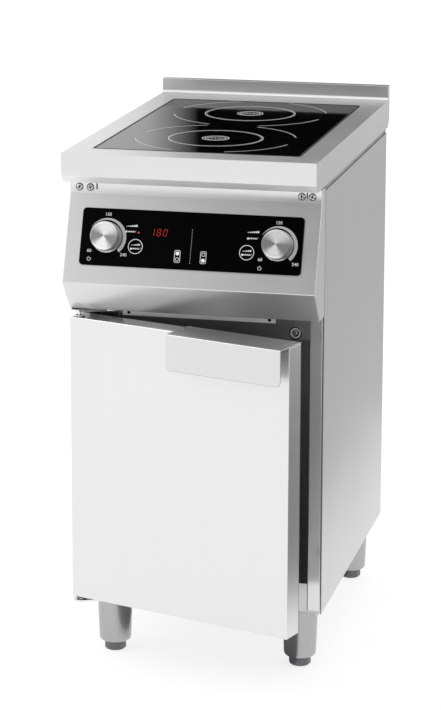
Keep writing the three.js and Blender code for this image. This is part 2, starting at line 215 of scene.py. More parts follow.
def spunAluminium(name, centre, axis):
    # circular lathe marks on the face, with bright and dark fans painted into its colour by angle round the
    # centre: painted highlights and painted shade
    paint = Paint(name)
    tilt = atan2(-axis.y, axis.z)
    local = paint.place((1, 1, 1), (-tilt, 0, 0), centre)
    parts = [paint.node("ShaderNodeSeparateXYZ", {}, {0: local}, i) for i in (0, 1)]
    radius = (parts[0] * parts[0] + parts[1] * parts[1]) ** 0.5
    fan = parts[1].maths("ARCTAN2", parts[1], parts[0])
    lathe = {"W": radius, "Scale": 1500.0}
    groove = paint.node("ShaderNodeTexNoise", {"noise_dimensions": "1D"}, lathe, 0)
    paintedSheen = (2 * fan - 1.22).sine()
    paintedSheenRipple = (3 * fan + 0.6).sine()
    # the mask is mostly the painted highlight and shade fans, with a little real lathe grain
    mask = (0.52 + 0.62 * paintedSheen + 0.26 * paintedSheenRipple + 0.12 * (groove - 0.5)).clamped()
    tone = paint.blend(mask, grey(0.30), grey(1.0))
    return paint.finish(Base_Color=tone, Metallic=0.72, Roughness=0.30 + 0.12 * (groove - 0.5),
                        Normal=paint.bump(groove, 0.10, 0.00008))


def blackGlass(name, tint, shine, level):
    # deep black glass with a trace of wiping film
    paint = Paint(name)
    film = paint.noise(paint.place((9, 6, 9)), 1.0, 4.0, 0.6)
    speck = paint.noise(paint.place((700, 700, 700)), 1.0, 1.0)
    mask = (0.8 * film + 0.2 * speck).clamped()
    return paint.finish(Base_Color=paint.blend(mask, grey(tint * 0.7), grey(tint * 1.4)),
                        Roughness=shine + 0.05 * (film - 0.4), Specular_IOR_Level=level, IOR=1.5,
                        Normal=paint.bump(film, 0.01, 0.0001))


def printedInk(name, tone, roughness=0.45):
    # screen printing with a fine dry grain
    paint = Paint(name)
    grain = paint.noise(paint.place((1500, 1500, 1500)), 1.0, 2.0)
    return paint.finish(Base_Color=paint.blend(grain, grey(tone * 0.82), grey(tone)), Roughness=roughness,
                        Normal=paint.bump(grain, 0.08, 0.00005))


def litRed(name, strength):
    # glowing plastic, a little uneven over its surface
    paint = Paint(name)
    glow = paint.noise(paint.place((900, 900, 900)), 1.0, 1.0)
    colour = paint.blend(glow, (0.75, 0.015, 0.01), (1.0, 0.05, 0.03))
    return paint.finish(Base_Color=(0.25, 0.01, 0.01, 1), Roughness=0.3, Emission_Color=colour,
                        Emission_Strength=strength)


def polished(name, tone, roughness):
    # bright plated metal with fine handling marks
    paint = Paint(name)
    fine = paint.noise(paint.place((420, 420, 420)), 1.0, 4.0, 0.7)
    cloud = paint.noise(paint.place((60, 60, 60)), 1.0, 2.0)
    return paint.finish(Base_Color=paint.blend(cloud, grey(tone * 0.86), grey(tone)), Metallic=1.0,
                        Roughness=roughness + 0.14 * (fine - 0.5), Normal=paint.bump(fine, 0.04, 0.0001))


def zincSheet(name, tone):
    # galvanised sheet with its crystal spangle
    paint = Paint(name)
    cells = paint.node("ShaderNodeTexVoronoi", {}, {"Vector": paint.place(), "Scale": 75.0}, "Color")
    cell = paint.node("ShaderNodeSeparateXYZ", {}, {0: cells}, 0)
    haze = paint.noise(paint.place((12, 12, 12)), 1.0, 3.0)
    mask = (0.55 * cell + 0.45 * haze).clamped()
    return paint.finish(Base_Color=paint.blend(mask, grey(tone * 0.72, (0.97, 0.99, 1)), grey(tone)),
                        Metallic=1.0, Roughness=0.38 + 0.2 * cell, Normal=paint.bump(haze, 0.1, 0.0002))


def moulded(name, colour, roughness, grain=1800.0, depth=0.00012, level=0.5):
    # moulded plastic, rubber or ceramic with a fine grain and slow clouds
    paint = Paint(name)
    fine = paint.noise(paint.place((grain, grain, grain)), 1.0, 2.0)
    cloud = paint.noise(paint.place((40, 40, 40)), 1.0, 3.0)
    mask = (0.5 * fine + 0.5 * cloud).clamped()
    low = tuple(c * 0.75 for c in colour)
    high = tuple(min(1, c * 1.25) for c in colour)
    return paint.finish(Base_Color=paint.blend(mask, low, high), Roughness=roughness + 0.12 * (cloud - 0.5),
                        Specular_IOR_Level=level, Normal=paint.bump(fine, 0.25, depth))


def woundCopper(name, centre):
    # flat spiral of stranded wire: fine rings with a twist across them
    paint = Paint(name)
    local = paint.place(centre=centre)
    parts = [paint.node("ShaderNodeSeparateXYZ", {}, {0: local}, i) for i in (0, 1)]
    radius = (parts[0] * parts[0] + parts[1] * parts[1]) ** 0.5
    wire = 0.5 + 0.5 * (1650 * radius).sine()
    strand = paint.noise(paint.place((900, 900, 900)), 1.0, 3.0)
    mask = (0.7 * wire + 0.3 * strand).clamped()
    return paint.finish(Base_Color=paint.blend(mask, (0.16, 0.05, 0.02), (0.72, 0.33, 0.16)), Metallic=0.9,
                        Roughness=0.5 - 0.2 * wire, Normal=paint.bump(wire, 0.6, 0.0012))


def circuitBoard(name):
    # green resist over copper tracks
    paint = Paint(name)
    brick = {"Vector": paint.place((60, 110, 60)), "Scale": 1.0, "Mortar Size": 0.06}
    tracks = paint.node("ShaderNodeTexBrick", {"offset": 0.37}, brick, 1)
    haze = paint.noise(paint.place((300, 300, 300)), 1.0, 3.0)
    mask = (0.75 * tracks + 0.25 * haze).clamped()
    return paint.finish(Base_Color=paint.blend(mask, (0.01, 0.07, 0.03), (0.06, 0.30, 0.12)),
                        Roughness=0.42 + 0.2 * (haze - 0.5), Normal=paint.bump(tracks, 0.3, 0.0002))


print("finishes ready")


def piece(name, bm, material, body, stands=(), smooth=50, others=()):
    # one finished piece: corners shade by area, so that flats stay flat and roundings stay round
    bmesh.ops.remove_doubles(bm, verts=bm.verts, dist=1e-6)
    bmesh.ops.recalc_face_normals(bm, faces=bm.faces)
    limit = cos(radians(smooth))
    area = {face: face.calc_area() for face in bm.faces}
    corners = []
    for face in bm.faces:
        for loop in face.loops:
            near = [other for other in loop.vert.link_faces if other.normal.dot(face.normal) > limit]
            total = sum((other.normal * area[other] for other in near), Vector())
            corners.append(total.normalized() if total.length else face.normal.copy())
    mesh = bpy.data.meshes.new(name)
    bm.to_mesh(mesh)
    bm.free()
    mesh.shade_smooth()
    mesh.normals_split_custom_set(corners)
    for finish in (material, *others):
        mesh.materials.append(finish)
    made = bpy.data.objects.new(name, mesh)
    bpy.context.scene.collection.objects.link(made)
    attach(made, body)
    if stands:
        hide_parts(*stands)
    return made


def rounded(bm, edges, width, segments=3, clamp=False):
    return bmesh.ops.bevel(bm, geom=edges, offset=width, offset_type="OFFSET", segments=segments, profile=0.5,
                           affect="EDGES", clamp_overlap=clamp, material=-1)["faces"]


fold = {"radius": 1.2, "bendAngle": 14, "bendWidth": 5.0, "cutAngle": 35, "sheet": 2.0}


def softened(node, finish, width, accents=()):
    # the sheet as it is in the frame, with its outer folds rounded and its cut edges broken and painted
    # darker as painted shade lines;
    # an accent is a further finish with a test for the faces that wear it
    bm = bmesh.new()
    bm.from_mesh(nodes[node].data)
    bmesh.ops.remove_doubles(bm, verts=bm.verts, dist=2e-6)
    bmesh.ops.dissolve_limit(bm, angle_limit=radians(1), verts=bm.verts, edges=bm.edges,
                             use_dissolve_boundaries=False)
    breadth = {face: face.calc_area() / max(edge.calc_length() for edge in face.edges) for face in bm.faces}
    metal = finish not in (glassTop, glassPanel)
    for face in bm.faces:
        face.material_index = 1 if metal and breadth[face] < fold["sheet"] * mm else 0
    bends = [edge for edge in bm.edges if edge.calc_face_angle_signed(0) > radians(fold["bendAngle"])
             and min(breadth[face] for face in edge.link_faces) > fold["bendWidth"] * mm]
    if bends and metal:
        rounded(bm, bends, fold["radius"] * mm, clamp=True)
    cuts = [edge for edge in bm.edges if edge.calc_face_angle(0) > radians(fold["cutAngle"])]
    # the roundings next to the thin cut faces wear the painted shade as well
    shadedRims = [face for face in rounded(bm, cuts, width, 2, clamp=True)
            if any(near.material_index == 1 for edge in face.edges for near in edge.link_faces)]
    for face in shadedRims:
        face.material_index = 1
    others = [cutEdgeShade] if metal else []
    bmesh.ops.recalc_face_normals(bm, faces=bm.faces)
    for further, wears in accents:
        others.append(further)
        for face in bm.faces:
            if wears(face):
                face.material_index = len(others)
    return piece(node + "_finished", bm, finish, nodes[node]["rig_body"], (node,), 50, others)


def inMillimetres(points):
    return [(radius * mm, height * mm) for radius, height in points]


def addTurned(bm, points, place=Matrix(), steps=48):
    # revolves (radius, height) points round the local Z axis
    ring = [bm.verts.new((r, 0, z)) for r, z in points]
    edges = [bm.edges.new(pair) for pair in zip(ring, ring[1:])]
    bmesh.ops.spin(bm, geom=ring + edges, cent=(0, 0, 0), axis=(0, 0, 1), angle=2 * pi, steps=steps,
                   use_merge=True)
    return moveNew(bm, place)


def moveNew(bm, place):
    # moves what was made since the last call
    tag = bm.verts.layers.int.get("set") or bm.verts.layers.int.new("set")
    fresh = [v for v in bm.verts if v[tag] == 0]
    bmesh.ops.transform(bm, matrix=place, verts=fresh)
    for vert in fresh:
        vert[tag] = 1
    return fresh


def addArc(bm, place, inner, outer, start, end, height, steps=None):
    # a flat band round the local Z axis, from start to end in degrees
    full = abs(end - start) >= 360
    turn = Matrix.Rotation(radians(start), 4, "Z")
    corners = [(inner, 0, 0), (outer, 0, 0), (outer, 0, height), (inner, 0, height)]
    verts = [bm.verts.new(turn @ Vector(c)) for c in corners]
    count = steps or max(3, int(abs(end - start) / 5))
    if full:
        edges = [bm.edges.new((verts[i], verts[(i + 1) % 4])) for i in range(4)]
        geom = verts + edges
    else:
        geom = verts + [bm.faces.new(verts)]
        geom += geom[-1].edges[:]
    bmesh.ops.spin(bm, geom=geom, cent=(0, 0, 0), axis=(0, 0, 1), angle=radians(end - start), steps=count,
                   use_merge=full)
    return moveNew(bm, place)


def addBlock(bm, place, low, high):
    # a block between two opposite corners
    size = [b - a for a, b in zip(low, high)]
    centre = [(a + b) / 2 for a, b in zip(low, high)]
    local = Matrix.Translation(centre) @ Matrix.Diagonal((*size, 1))
    bmesh.ops.create_cube(bm, size=1, matrix=local)
    return moveNew(bm, place)


def addRod(bm, place, radius, low, high, steps=20):
    # a rod along the local Z axis, with as many sides as steps
    local = Matrix.Translation((0, 0, (low + high) / 2))
    bmesh.ops.create_cone(bm, cap_ends=True, segments=steps, radius1=radius, radius2=radius,
                          depth=high - low, matrix=local)
    return moveNew(bm, place)


def addDigits(bm, text, size, place, height):
    # generic numbers, set flat and centred on the spot
    curve = bpy.data.curves.new("digits", "FONT")
    curve.body = text
    curve.size = size
    curve.align_x = "CENTER"
    curve.align_y = "CENTER"
    curve.extrude = height / 2
    curve.resolution_u = 3
    holder = bpy.data.objects.new("digits", curve)
    bpy.context.scene.collection.objects.link(holder)
    bpy.context.view_layer.update()
    flat = holder.to_mesh()
    flat.transform(Matrix.Translation((0, 0, height / 2)))
    bm.from_mesh(flat)
    holder.to_mesh_clear()
    bpy.data.objects.remove(holder)
    return moveNew(bm, place)


def facing(point, outward):
    # a place whose local Z points outward
    return Matrix.Translation(point) @ outward.to_track_quat("Z", "Y").to_matrix().to_4x4()


print("helpers ready")


knobAxis = -Vector(joints["left_knob_turn"]["axis"]).normalized()
knobSpots = {side: Vector(joints[side + "_knob_turn"]["pos_m"]) for side in ("left", "right")}
footSpots = {}
for name in [n for n in nodes if n.startswith("foot_")]:
    low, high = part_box(name)
    footSpots[name[5:]] = Vector(((low.x + high.x) / 2, (low.y + high.y) / 2, 0))

steelFront = brushedSteel("steel_front", 0.72, "x", 0.32)
steelTop = brushedSteel("steel_top", 0.74, "x", 0.32)
# lighter copy of the top steel for the worktop's downward bevel: painted light in place of the bright fascia
# it reflects
steelBevelLit = brushedSteel("steel_bevel_painted_light", 0.86, "x", 0.50)
# darker copy of the top steel for the front of the rear upstand: painted shade
steelUpstandShaded = brushedSteel("steel_upstand_painted_shade", 0.44, "x", 0.30)
# lighter copy of the front steel for the upright band under the worktop: painted light
steelBandLit = brushedSteel("steel_band_painted_light", 0.82, "x", 0.30)
# darker copy of the steel for the sides, rear, tray, leg plates and door pressing: painted shade
steelSideShaded = brushedSteel("steel_side_painted_shade", 0.62, "z", 0.34)
# near-black copy of the steel for thin cut faces and the roundings beside them: painted shade lines
cutEdgeShade = brushedSteel("steel_cut_edge_painted_shade", 0.26, "x", 0.50)
# near-black copy of the steel for the upper hinge leaf's front: painted shade
leafSteelShaded = brushedSteel("steel_leaf_painted_shade", 0.10, "x", 0.25)
steelDoor = brushedSteel("steel_door", 0.76, "z", 0.30, 0.04)
steelHandle = brushedSteel("steel_handle", 0.68, "x", 0.24, 0.05)
steelPost = brushedSteel("steel_post", 0.68, "z", 0.15, 0.06)
# dark copy of the steel for the top rail over the door opening: painted shade
steelInnerShaded = brushedSteel("steel_inner_painted_shade", 0.22, "x", 0.30)
# darker copy of the steel for the door's inner liner: painted shade
steelLinerShaded = brushedSteel("steel_liner_painted_shade", 0.52, "z", 0.34)
# brightest copy of the steel for the fixing strip, which sits in shade under the fascia: painted light
steelStripLit = brushedSteel("steel_strip_painted_light", 0.98, "x", 0.45, 0.05)
zinc = zincSheet("zinc_sheet", 0.55)
chrome = polished("chrome_plate", 0.85, 0.12)
screwSteel = polished("screw_steel", 0.74, 0.10)
# near-black for screw crosses, slots, strip holes and catch grooves as their painted shade, and for the dark
# joints at the housing seams
recessShadeAndJointDark = moulded("recess_shade_and_dark_joints", (0.012, 0.012, 0.013), 0.6, level=0.1)
aluminium = polished("mill_aluminium", 0.72, 0.36)
glassTop = blackGlass("ceramic_glass", 0.003, 0.05, 0.5)
glassPanel = blackGlass("panel_glass", 0.001, 0.09, 0.03)
inkWhite = printedInk("ink_white", 0.85)
inkGrey = printedInk("ink_grey", 0.50, 0.35)
displayRed = litRed("display_red", 0.65)
rubber = moulded("black_rubber", (0.015, 0.015, 0.016), 0.75)
blackPlastic = moulded("black_plastic", (0.03, 0.03, 0.033), 0.5)
satinTube = turnedSteel("satin_tube", 0.44, 0.27)
footPlastic = moulded("foot_plastic", (0.075, 0.077, 0.08), 0.20, 900.0, 0.00004, 0.9)
boardGreen = circuitBoard("circuit_board")
ceramic = moulded("ceramic_body", (0.8, 0.78, 0.72), 0.6)


sheets = [
    ("worktop", steelTop, 0.7, "stainless"),
    ("control_housing", steelFront, 0.6, "stainless"),
    ("side_panel_left", steelSideShaded, 0.4, "stainless"),
    ("side_panel_right", steelSideShaded, 0.4, "stainless"),
    ("rear_panel", steelSideShaded, 0.3, "stainless"),
    ("post_left", steelPost, 0.5, "stainless"),
    ("post_right", steelPost, 0.5, "stainless"),
    ("top_rail", steelInnerShaded, 0.5, "stainless"),
    ("base_tray", steelSideShaded, 0.4, "stainless"),
    ("door_skin", steelDoor, 0.55, "door_steel"),
    ("door_liner", steelLinerShaded, 0.4, "stainless"),
    ("door_handle", steelHandle, 0.5, "door_steel"),
    ("fixing_strip", steelStripLit, 0.2, "chrome"),
    ("magnet_catch", chrome, 0.25, "chrome"),
    ("striker_plate", chrome, 0.2, "chrome"),
    ("hinge_bracket_upper", chrome, 0.5, "chrome"),
    ("hinge_bracket_lower", chrome, 0.5, "chrome"),
    ("hob_glass", glassTop, 0.6, "black_glass"),
    ("control_glass", glassPanel, 0.35, "black_glass"),
    ("worktop_bearer_left", zinc, 0.4, "galvanised"),
    ("worktop_bearer_right", zinc, 0.4, "galvanised"),
    ("electronics_deck", zinc, 0.3, "galvanised"),
    ("coil_rail_front", zinc, 0.4, "galvanised"),
    ("coil_rail_rear", zinc, 0.4, "galvanised"),
    ("heatsink_left", aluminium, 0.4, "aluminium"),
    ("heatsink_right", aluminium, 0.4, "aluminium"),
]
accents = {
    # lighter steel on the downward bevel is painted light; darker steel on the rear upstand's front is
    # painted shade
    "worktop": ((steelBevelLit, lambda face: -0.95 < face.normal.z < -0.2),
                (steelUpstandShaded, lambda face: face.normal.y < -0.9 and face.calc_center_median().y > 0)),
    # the upright band wears the lighter steel: painted light
    "control_housing": ((steelBandLit, lambda face: face.normal.y < -0.99),),
    # the downward bottom rounding and the left edge of the door wear the dark cut-edge steel: painted shade
    # lines
    "door_skin": ((cutEdgeShade, lambda face: -0.97 < face.normal.z < -0.2),
                  (cutEdgeShade, lambda face: face.normal.x < -0.6 and face.normal.y < -0.05)),
    # the front of the upper bracket's leaf wears the near-black steel: painted shade
    "hinge_bracket_upper": ((leafSteelShaded, lambda face: face.normal.y < -0.9 and face.calc_area() > 1e-4),),
}
for node, finish, width, slot in sheets:
    softened(node, finish, width * mm, accents.get(node, ()))
print("sheet metal and glass done")


def repaint(material, slot, *names):
    for name in names:
        nodes[name].data.materials.clear()
        nodes[name].data.materials.append(material)


repaint(chrome, "chrome", "knob_shaft_left", "knob_shaft_right", "hinge_pin_upper", "hinge_pin_lower")
repaint(rubber, "rubber", "glass_seal")
repaint(boardGreen, "circuit_board", "display_board", "power_board_left", "power_board_right")
repaint(blackPlastic, "black_plastic", "encoder_left", "encoder_right", "fan_frame_left", "fan_frame_right",
        "fan_rotor_left", "fan_rotor_right", "terminal_block", "door_bush_upper", "door_bush_lower")
repaint(aluminium, "aluminium", "coil_carrier_front", "coil_carrier_rear")
repaint(ceramic, "ceramic", "temperature_sensor_front", "temperature_sensor_rear")
for end in ("front", "rear"):
    low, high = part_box("coil_" + end)
    repaint(woundCopper("copper_winding_" + end, tuple((low + high) / 2)), "copper", "coil_" + end)


knob = {"skirt": 24.0, "face": 22.5, "base": 3.0, "top": 23.0, "bore": 3.3, "boreTop": 17.0}


def knobOutline():
    skirt, face, base, top = (knob[key] for key in ("skirt", "face", "base", "top"))
    return [(knob["bore"], base), (skirt - 0.5, base), (skirt, base + 0.5), (skirt, base + 2.4),
            (skirt - 0.3, base + 2.9), (face + 0.7, base + 3.4), (face + 0.5, base + 4.6), (face, top - 1.7),
            (face - 0.25, top - 0.9), (face - 0.9, top - 0.25), (face - 1.8, top), (face - 2.4, top - 0.12),
            (2.0, top - 0.3), (0, top - 0.32)]


def makeKnobs():
    bore = [(0, knob["boreTop"]), (knob["bore"], knob["boreTop"]), (knob["bore"], knob["base"])]
    for side, spot in knobSpots.items():
        bm = bmesh.new()
        for outline in (knobOutline(), bore):
            addTurned(bm, inMillimetres(outline), facing(spot, knobAxis), 72)
        spun = spunAluminium("spun_aluminium_" + side, tuple(spot), knobAxis)
        piece("knob_turned_" + side, bm, spun, side + "_knob", ("knob_" + side,), 28)


makeKnobs()


def lowerRound(radius, corner, bottom, steps):
    # a quarter round from the underside out to the side, for an outline to be turned
    angles = [pi / 2 * i / steps for i in range(steps + 1)]
    return [(radius - corner + corner * sin(a), bottom + corner - corner * cos(a)) for a in angles]


leg = {"top": 29.0, "low": 26.0, "mouth": 18.3, "flange": 38.0, "bottom": 16.0, "height": 106.0,
       "corner": 6.0, "nut": 5.3, "nutFrom": 40, "nutTo": 52}


def makeLegTube(corner, place):
    # tapered tube with a flange on top, a rounded lower end and a nut inside for the foot
    low, high, inside = leg["bottom"], leg["height"], leg["low"] - 1.5
    outline = [(leg["mouth"], low + 2), (leg["mouth"], low + 0.4), (leg["mouth"] + 0.4, low),
               *lowerRound(leg["low"], leg["corner"], low, 3),
               (leg["low"] + 0.1, low + 9), (leg["top"], high - 1.5), (leg["top"] + 0.4, high - 0.4),
               (leg["flange"] - 0.4, high), (leg["flange"], high + 0.5), (leg["flange"], high + 2.6),
               (leg["flange"] - 0.4, high + 3), (0, high + 3)]
    bore = [(0, high - 3), (leg["top"] - 2, high - 3), (inside, leg["nutTo"]), (leg["nut"], leg["nutTo"]),
            (leg["nut"], leg["nutFrom"]), (inside, leg["nutFrom"]), (inside, low + 9),
            (leg["mouth"], low + 2)]
    bm = bmesh.new()
    for line in (outline, bore):
        addTurned(bm, inMillimetres(line), place, 56)
    piece("leg_tube_" + corner, bm, satinTube, "cabinet", ("leg_" + corner,), 30)


foot = {"radius": 18.0, "waist": 17.0, "corner": 4.0, "height": 26.0, "flats": 10, "flatsFrom": 3.4,
        "flatsTo": 13.4, "thread": 5.0, "root": 4.5, "turns": 30, "pitch": 2, "stemTop": 88}


def makeFoot(corner, place):
    # screw-in foot: rounded and faceted below, a smooth collar above, and its threaded stem
    stem = [(foot["root"] + 0.1, foot["height"] + 0.5)]
    for i in range(foot["turns"]):
        z = foot["height"] + 1 + i * foot["pitch"]
        stem += [(foot["root"], z), (foot["thread"], z + 1)]
    outline = [(0, 0), *lowerRound(foot["waist"], foot["corner"], 0, 4), (foot["waist"], 12.8),
               (foot["waist"] + 0.4, 13.2), (foot["radius"], 14), (foot["radius"], foot["height"] - 0.8),
               (foot["radius"] - 0.8, foot["height"]), *stem, (4.2, foot["stemTop"]), (0, foot["stemTop"])]
    bm = bmesh.new()
    addTurned(bm, inMillimetres(outline), place, 40)
    turned = place @ Matrix.Rotation(0.3, 4, "Z")
    addRod(bm, turned, foot["radius"] * mm, foot["flatsFrom"] * mm, foot["flatsTo"] * mm, foot["flats"])
    piece("foot_moulded_" + corner, bm, footPlastic, corner + "_foot", ("foot_" + corner,), 35)


legPlate = {"half": 39.0, "from": 99.5, "to": 105.9, "round": 1.5, "bolts": 0.8, "bolt": 4.6,
            "boltHeight": 3.4, "washer": 6.0}


def makeLegPlate(corner, place):
    # pressed plate that bolts the leg under the cabinet
    bm = bmesh.new()
    half = legPlate["half"] * mm
    addBlock(bm, place, (-half, -half, legPlate["from"] * mm), (half, half, legPlate["to"] * mm))
    rim = [edge for edge in bm.edges if edge.calc_length() < 10 * mm or edge.verts[0].co.z < 100 * mm]
    rounded(bm, rim, legPlate["round"] * mm)
    reach = half * legPlate["bolts"]
    for sx in (-1, 1):
        for sy in (-1, 1):
            under = Matrix.Translation((sx * reach, sy * reach, (legPlate["from"] + 0.1) * mm))
            bolt = place @ under @ Matrix.Rotation(pi, 4, "X")
            addRod(bm, bolt, legPlate["bolt"] * mm, 0, legPlate["boltHeight"] * mm, 6)
            addRod(bm, bolt, legPlate["washer"] * mm, -0.2 * mm, 0.7 * mm, 20)
    piece("leg_plate_" + corner, bm, steelSideShaded, "cabinet", smooth=25)


for corner, spot in footSpots.items():
    makeLegTube(corner, Matrix.Translation(spot))
    makeFoot(corner, Matrix.Translation(spot))
    makeLegPlate(corner, Matrix.Translation(spot))
print("knobs, legs and feet done")


def panelFrame():
    # local X along the fascia, local Y up the slope, local Z out of it, zero between the two knobs
    middle = (knobSpots["left"] + knobSpots["right"]) / 2
    middle.x = 0
    across = Vector((1, 0, 0))
    up = knobAxis.cross(across)
    turn = Matrix((across, up, knobAxis)).transposed().to_4x4()
    return Matrix.Translation(middle) @ turn


panel = {"face": 2.3, "ink": 0.12, "knobDown": 68.7}
panelPlace = panelFrame()
printLevel = panel["face"] * mm + 0.00002


def onPanel(x, down):
    # a spot on the printed glass, in millimetres across and down from the fascia's top line
    return panelPlace @ Matrix.Translation((x * mm, (panel["knobDown"] - down) * mm, printLevel))


offIcon = {"inner": 2.5, "outer": 3.1, "from": 125, "to": 415, "strokeHalf": 0.3, "strokeFrom": 0.8,
           "strokeTo": 3.6}


def addOffIcon(bm, spot, ink):
    # an open ring with a stroke, standing for off
    addArc(bm, spot, offIcon["inner"] * mm, offIcon["outer"] * mm, offIcon["from"], offIcon["to"], ink)
    half, low, high = (offIcon[key] * mm for key in ("strokeHalf", "strokeFrom", "strokeTo"))
    addBlock(bm, spot, (-half, low, 0), (half, high, ink))


def addFrame(bm, spot, half, tall, corner, line, height):
    # the outline of a rounded rectangle, as a flat raised band
    for sx in (-1, 1):
        for sy in (-1, 1):
            start = {(1, 1): 0, (-1, 1): 90, (-1, -1): 180, (1, -1): 270}[(sx, sy)]
            at = spot @ Matrix.Translation((sx * (half - corner) * mm, sy * (tall - corner) * mm, 0))
            addArc(bm, at, (corner - line) * mm, corner * mm, start, start + 90, height, 6)
        edge = sorted((sx * half * mm, sx * (half - line) * mm))
        addBlock(bm, spot, (edge[0], -(tall - corner) * mm, 0), (edge[1], (tall - corner) * mm, height))
        edge = sorted((sx * tall * mm, sx * (tall - line) * mm))
        addBlock(bm, spot, (-(half - corner) * mm, edge[0], 0), ((half - corner) * mm, edge[1], height))


zoneIcon = {"half": 4.7, "tall": 9.6, "corner": 2.4, "line": 0.7, "apart": 4.6, "dot": 3.0, "hole": 2.3}


def addZoneIcon(bm, spot, ink, upperFilled):
    # the two cooking zones in a frame, with the one that the knob works filled in
    icon = zoneIcon
    addFrame(bm, spot, icon["half"], icon["tall"], icon["corner"], icon["line"], ink)
    for sy in (-1, 1):
        at = spot @ Matrix.Translation((0, sy * icon["apart"] * mm, 0))
        if (sy > 0) == upperFilled:
            addRod(bm, at, icon["dot"] * mm, 0, ink, 20)
        else:
            addArc(bm, at, icon["hole"] * mm, icon["dot"] * mm, 0, 360, ink, 20)


levelBars = {"bottom": -1.6, "first": -0.9, "rise": 0.5}


def addLevelIcon(bm, spot, ink, count=6, pitch=3.1, bar=2.2):
    # rising bars, standing for heating power
    for i in range(count):
        x = (i - (count - 1) / 2) * pitch
        tip = levelBars["first"] + levelBars["rise"] * i
        addBlock(bm, spot, ((x - bar / 2) * mm, levelBars["bottom"] * mm, 0),
                 ((x + bar / 2) * mm, tip * mm, ink))


thermometer = {"bulb": 1.7, "half": 0.55, "ticks": 4, "first": -2.5, "pitch": 3.4, "tick": (0.5, 1.5)}


def addThermometer(bm, spot, ink, length=14.0):
    # a lying thermometer, standing for temperature
    end, half = length / 2 * mm, thermometer["half"] * mm
    addRod(bm, spot @ Matrix.Translation((-end, 0, 0)), thermometer["bulb"] * mm, 0, ink, 14)
    addBlock(bm, spot, (-end, -half, 0), (end, half, ink))
    wide, tall = (v * mm for v in thermometer["tick"])
    for i in range(thermometer["ticks"]):
        x = (thermometer["first"] + i * thermometer["pitch"]) * mm
        addBlock(bm, spot, (x, wide, 0), (x + wide, wide + tall, ink))


powerScale = {"inner": 25.0, "outer": 30.5, "from": -47.0, "to": 150.0, "full": 0.35, "tip": 0.25,
              "curve": 1.2, "steps": 44}


def addPowerScale(bm, spot, ink):
    # power scale round a knob: widest at full power, tapering back to nothing at the low end
    inner, outer, start, end = (powerScale[key] for key in ("inner", "outer", "from", "to"))
    band = addArc(bm, Matrix(), inner * mm, outer * mm, start, end, ink, powerScale["steps"])
    for vert in band:
        radius = vert.co.xy.length / mm
        if radius > (inner + outer) / 2:
            continue
        share = (degrees(atan2(vert.co.y, vert.co.x)) - start) / (end - start)
        taper = max(0.0, (share - powerScale["full"]) / (1 - powerScale["full"])) ** powerScale["curve"]
        grown = (inner + (outer - inner - powerScale["tip"]) * taper) / radius
        vert.co.x *= grown
        vert.co.y *= grown
    bmesh.ops.transform(bm, matrix=spot, verts=band)


panelMarks = {
    "left": {"knob": -133.0, "150": (-134, 32.5), "60": (-160, 90.6), "240": (-105, 94.8),
             "power": (-95, 48.5), "heat": (-96.3, 58.0), "key": (-87, 80.7), "off": (-159.5, 103.2),
             "zone": (-19.4, 92.8)},
    "right": {"knob": 137.0, "150": (135.8, 33.3), "60": (110.6, 91.5), "240": (165.4, 96.2),
              "power": (97, 48.9), "heat": (96.5, 59.5), "key": (88.9, 81.5), "off": (110.6, 104.6),
              "zone": (21.6, 92.7)},
}


touchKey = {"inner": 10.7, "outer": 11.6, "powerUp": 3.2, "heatDown": 3.6}
dotLine = {"x": 1.2, "from": 50.6, "to": 102.5, "dots": 14, "half": (0.3, 0.6)}


def makePanelPrints():
    ink = panel["ink"] * mm
    for side, marks in panelMarks.items():
        bm = bmesh.new()
        for number in ("60", "150", "240"):
            addDigits(bm, number, 7.0 * mm, onPanel(*marks[number]), ink)
        addLevelIcon(bm, onPanel(*marks["power"]), ink)
        addThermometer(bm, onPanel(*marks["heat"]), ink)
        addOffIcon(bm, onPanel(*marks["off"]), ink)
        addZoneIcon(bm, onPanel(*marks["zone"]), ink, side == "left")
        key = onPanel(*marks["key"])
        addArc(bm, key, touchKey["inner"] * mm, touchKey["outer"] * mm, 0, 360, ink, 60)
        addLevelIcon(bm, key @ Matrix.Translation((0, touchKey["powerUp"] * mm, 0)), ink, 5, 2.9, 2.0)
        addThermometer(bm, key @ Matrix.Translation((0, -touchKey["heatDown"] * mm, 0)), ink, 13.0)
        if side == "left":
            addDotLine(bm, ink)
        piece("panel_print_" + side, bm, inkWhite, "cabinet")
        bm = bmesh.new()
        addPowerScale(bm, onPanel(marks["knob"], panel["knobDown"]), ink)
        piece("power_scale_" + side, bm, inkGrey, "cabinet")


def addDotLine(bm, ink):
    # the dotted line between the two halves of the panel
    wide, tall = (value * mm for value in dotLine["half"])
    for i in range(dotLine["dots"]):
        down = dotLine["from"] + i * (dotLine["to"] - dotLine["from"]) / (dotLine["dots"] - 1)
        addBlock(bm, onPanel(dotLine["x"], down), (-wide, -tall, 0), (wide, tall, ink))


makePanelPrints()


display = {"left": -64.5, "right": -38.0, "top": 51.6, "bottom": 62.8, "lean": 0.14, "half": 2.5,
           "thick": 0.24, "inset": 3.2, "spread": 0.94, "barWide": 0.72, "barTall": 0.19, "number": "180",
           "lamp": (-83.4, 58.8)}
litBars = {"1": "bc", "8": "abcdefg", "0": "abcdef"}
barPlaces = {"a": (0, 1), "g": (0, 0), "d": (0, -1), "b": (1, 0.5), "c": (1, -0.5), "e": (-1, -0.5),
             "f": (-1, 0.5)}


